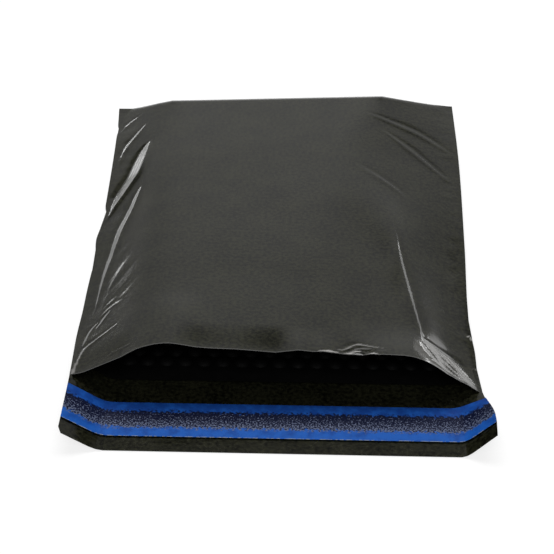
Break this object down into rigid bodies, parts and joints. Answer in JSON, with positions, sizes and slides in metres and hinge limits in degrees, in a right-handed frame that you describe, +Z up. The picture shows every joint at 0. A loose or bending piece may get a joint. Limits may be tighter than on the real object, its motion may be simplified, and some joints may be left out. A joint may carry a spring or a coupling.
{
  "type": "bubble security envelope",
  "caption": "Black film mailing envelope with a bubble lining, its mouth propped open, and a blue peel-off closing strip along the flap.",
  "frame": {"origin": "on the table, under the middle of the whole envelope with its flap", "axes": "+Z up, +Y along the envelope from the flap to the folded end, +X across it"},
  "size_m": [0.2475, 0.3969, 0.0379],
  "materials": {
    "black_film": "semi-gloss black film with creases",
    "bubble_film": "dull black bubble film",
    "adhesive": "dark tacky adhesive",
    "blue_liner": "smooth blue film"
  },
  "bodies": {
    "root": {"envelope_film": "black_film", "bubble_lining": "bubble_film", "adhesive_band": "adhesive", "release_liner": "blue_liner"}
  },
  "joints": []
}
